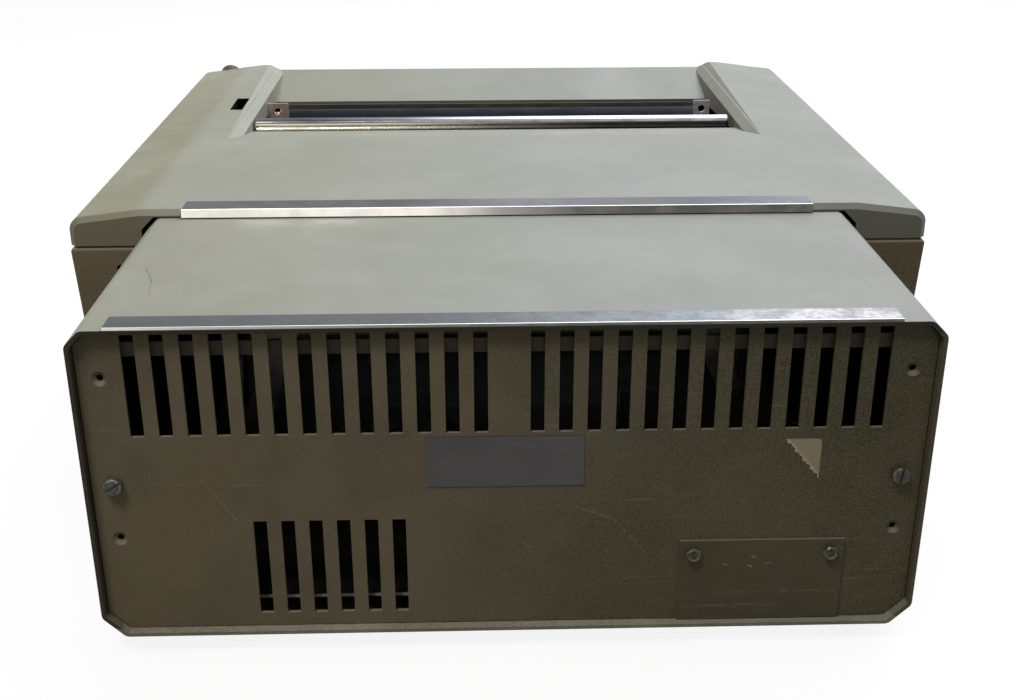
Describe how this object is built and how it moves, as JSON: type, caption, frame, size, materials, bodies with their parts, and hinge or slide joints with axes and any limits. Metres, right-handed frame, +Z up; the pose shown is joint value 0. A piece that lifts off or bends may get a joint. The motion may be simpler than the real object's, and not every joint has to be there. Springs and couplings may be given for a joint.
{
  "type": "teleprinter",
  "caption": "Free-standing page teleprinter with a keyboard, a paper slot over a platen, a print carriage and a vented control box behind it.",
  "frame": {"origin": "on the bench, under the middle of the bounding box", "axes": "+X the operator's right, +Y towards the rear where the control box is, +Z up"},
  "size_m": [0.553, 0.8302, 0.2052],
  "materials": {
    "cover_plastic": "fine textured, grey-green",
    "casing_plastic": "fine textured, brownish olive",
    "panel_paint": "dark olive paint with scuffs",
    "bright_trim": "polished, slightly scuffed",
    "plated_steel": "zinc plated",
    "dark_steel": "blackened",
    "bright_steel": "bright plated",
    "name_plate": "satin, bare",
    "platen_rubber": "smooth, dark",
    "black_rubber": "matt",
    "warm_brass": "dull",
    "gear_metal": "satin",
    "transformer_iron": "varnished laminations and coil",
    "motor_case": "black paint",
    "carriage_metal": "cast",
    "type_metal": "hardened",
    "belt": "ribbed",
    "dark_plastic": "black",
    "spool_plastic": "black, with inked ribbon",
    "knob_plastic": "dark rim, grey inner face",
    "scale_metal": "dull grey-brown",
    "window_plastic": "dark frame",
    "pane": "clear, slightly smoked",
    "key_plastic": "light grey, unmarked",
    "key_dark": "dark grey, unmarked",
    "call_plastic": "red, translucent",
    "clear_plastic": "cream, translucent"
  },
  "bodies": {
    "machine": {"top_cover": "cover_plastic", "lower_casing": "casing_plastic", "casing_screws": "plated_steel", "keyboard_surround": "cover_plastic", "box_shell": "cover_plastic", "rear_panel": "panel_paint", "box_brackets": "plated_steel", "panel_screws": "plated_steel", "blanking_plate": "panel_paint", "blanking_screws": "plated_steel", "name_plate": "name_plate", "box_trim": "bright_trim", "cover_trim": "bright_trim", "feet": "black_rubber", "foot_screws": "plated_steel", "chassis_rails": "plated_steel", "chassis_ties": "plated_steel", "transformer": "transformer_iron", "side_plates": "dark_steel", "platen_bushes": "gear_metal", "feed_motor": "motor_case", "feed_bracket": "plated_steel", "line_scale": "scale_metal", "guide_rod": "bright_steel", "tear_strip": "bright_steel", "left_clip": "bright_steel", "right_clip": "warm_brass", "spindle_brackets": "plated_steel", "carriage_rods": "bright_steel", "carriage_belt": "belt", "belt_brackets": "plated_steel", "carriage_motor": "motor_case", "ribbon_shelves": "plated_steel", "lever_bracket": "plated_steel", "hinge_pins": "bright_steel", "knob_switch": "dark_plastic", "key_frame": "dark_steel"},
    "window": {"window_frame": "window_plastic", "window_pane": "pane"},
    "platen_roll": {"platen": "platen_rubber", "platen_shaft": "bright_steel", "platen_gear": "gear_metal"},
    "feed_rotor": {"feed_pinion": "gear_metal"},
    "nip": {"pressure_rollers": "black_rubber"},
    "spindle": {"roll_spindle": "bright_steel"},
    "lever": {"release_lever": "bright_steel"},
    "print_carriage": {"carriage": "carriage_metal"},
    "type_drum": {"type_cylinder": "type_metal"},
    "left_pulley": {"left_belt_pulley": "carriage_metal"},
    "right_pulley": {"right_belt_pulley": "carriage_metal"},
    "left_spool": {"left_ribbon_spool": "spool_plastic"},
    "right_spool": {"right_ribbon_spool": "spool_plastic"},
    "knob": {"mode_knob": "knob_plastic"},
    "digit_keys": {"digit_key_row": "key_plastic"},
    "upper_keys": {"upper_key_row": "key_plastic"},
    "home_keys": {"home_key_row": "key_plastic"},
    "lower_keys": {"lower_key_row": "key_plastic"},
    "space_key": {"space_bar": "key_dark"},
    "call": {"call_button": "call_plastic"},
    "clear": {"clear_button": "clear_plastic"}
  },
  "joints": [
    {"name": "window_hinge", "type": "hinge", "parent": "machine", "child": "window", "pos_m": [0, -0.24483, 0.18348], "axis": [-1, 0, 0], "range_deg": [0, 100]},
    {"name": "platen_turn", "type": "hinge", "parent": "machine", "child": "platen_roll", "pos_m": [0, -0.1299, 0.1655], "axis": [1, 0, 0], "continuous": true},
    {"name": "feed_pinion_turn", "type": "hinge", "parent": "machine", "child": "feed_rotor", "pos_m": [0.192, -0.1299, 0.1399], "axis": [1, 0, 0], "continuous": true},
    {"name": "nip_turn", "type": "hinge", "parent": "machine", "child": "nip", "pos_m": [0, -0.10989, 0.14549], "axis": [1, 0, 0], "continuous": true},
    {"name": "spindle_turn", "type": "hinge", "parent": "machine", "child": "spindle", "pos_m": [0, 0.12009, 0.112], "axis": [1, 0, 0], "continuous": true},
    {"name": "release_lever_turn", "type": "hinge", "parent": "machine", "child": "lever", "pos_m": [0.2108, -0.0744, 0.13], "axis": [1, 0, 0], "range_deg": [-10, 10]},
    {"name": "carriage_slide", "type": "slide", "parent": "machine", "child": "print_carriage", "axis": [1, 0, 0], "range_m": [-0.14, 0.14]},
    {"name": "type_drum_turn", "type": "hinge", "parent": "print_carriage", "child": "type_drum", "pos_m": [0, -0.1659, 0.162], "axis": [0, 0, 1], "continuous": true},
    {"name": "left_pulley_turn", "type": "hinge", "parent": "machine", "child": "left_pulley", "pos_m": [-0.166, -0.2224, 0.118], "axis": [0, 1, 0], "range_deg": [-670, 670]},
    {"name": "right_pulley_turn", "type": "hinge", "parent": "machine", "child": "right_pulley", "pos_m": [0.166, -0.2224, 0.118], "axis": [0, 1, 0], "range_deg": [-670, 670]},
    {"name": "left_spool_turn", "type": "hinge", "parent": "machine", "child": "left_spool", "pos_m": [-0.138, -0.20891, 0.157], "axis": [0, 0, 1], "continuous": true},
    {"name": "right_spool_turn", "type": "hinge", "parent": "machine", "child": "right_spool", "pos_m": [0.138, -0.20891, 0.157], "axis": [0, 0, 1], "continuous": true},
    {"name": "mode_knob_turn", "type": "hinge", "parent": "machine", "child": "knob", "pos_m": [0.2511, -0.25024, 0.19004], "axis": [0, -0.9245, 0.3811], "range_deg": [-60, 60]},
    {"name": "digit_keys_press", "type": "slide", "parent": "machine", "child": "digit_keys", "axis": [0, 0.2079, -0.9781], "range_m": [0, 0.004], "stiffness_N_per_m": 400, "springref_m": -0.006},
    {"name": "upper_keys_press", "type": "slide", "parent": "machine", "child": "upper_keys", "axis": [0, 0.2079, -0.9781], "range_m": [0, 0.004], "stiffness_N_per_m": 400, "springref_m": -0.006},
    {"name": "home_keys_press", "type": "slide", "parent": "machine", "child": "home_keys", "axis": [0, 0.2079, -0.9781], "range_m": [0, 0.004], "stiffness_N_per_m": 400, "springref_m": -0.006},
    {"name": "lower_keys_press", "type": "slide", "parent": "machine", "child": "lower_keys", "axis": [0, 0.2079, -0.9781], "range_m": [0, 0.004], "stiffness_N_per_m": 400, "springref_m": -0.006},
    {"name": "space_press", "type": "slide", "parent": "machine", "child": "space_key", "axis": [0, 0.2079, -0.9781], "range_m": [0, 0.004], "stiffness_N_per_m": 400, "springref_m": -0.006},
    {"name": "call_press", "type": "slide", "parent": "machine", "child": "call", "axis": [0, 0.2079, -0.9781], "range_m": [0, 0.003], "stiffness_N_per_m": 150, "springref_m": -0.005},
    {"name": "clear_press", "type": "slide", "parent": "machine", "child": "clear", "axis": [0, 0.2079, -0.9781], "range_m": [0, 0.003], "stiffness_N_per_m": 150, "springref_m": -0.005}
  ],
  "couplings": [
    {"joint": "feed_pinion_turn", "follows": "platen_turn", "ratio": -2},
    {"joint": "nip_turn", "follows": "platen_turn", "ratio": -2.5},
    {"joint": "left_pulley_turn", "follows": "carriage_slide", "rad_per_m": 83.333},
    {"joint": "right_pulley_turn", "follows": "carriage_slide", "rad_per_m": 83.333}
  ]
}
